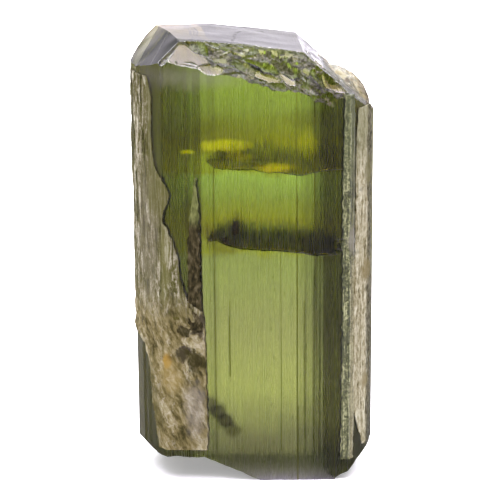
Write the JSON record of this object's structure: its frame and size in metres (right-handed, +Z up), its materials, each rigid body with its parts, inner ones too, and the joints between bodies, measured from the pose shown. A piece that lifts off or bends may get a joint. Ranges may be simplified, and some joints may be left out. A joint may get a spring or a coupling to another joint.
{
  "type": "rough verdelite tourmaline",
  "caption": "Rough green tourmaline prism, broken at both ends, with tan matrix crust left on its sides; stands on its broken base.",
  "frame": {"origin": "middle of the bounding box, at the level of the flat on the broken base", "axes": "+Z up along the prism, -Y out of the broad striated front face, +X to the viewer's right"},
  "size_m": [0.015, 0.0094, 0.0274],
  "materials": {
    "verdelite": "clear green crystal with satin ridged sides and glossy breaks",
    "tan_matrix": "rough fibrous tan and grey crust",
    "cream_matrix": "rough cream crust"
  },
  "bodies": {
    "root": {"crystal": "verdelite", "left_crust": "tan_matrix", "right_crust": "cream_matrix"}
  },
  "joints": []
}
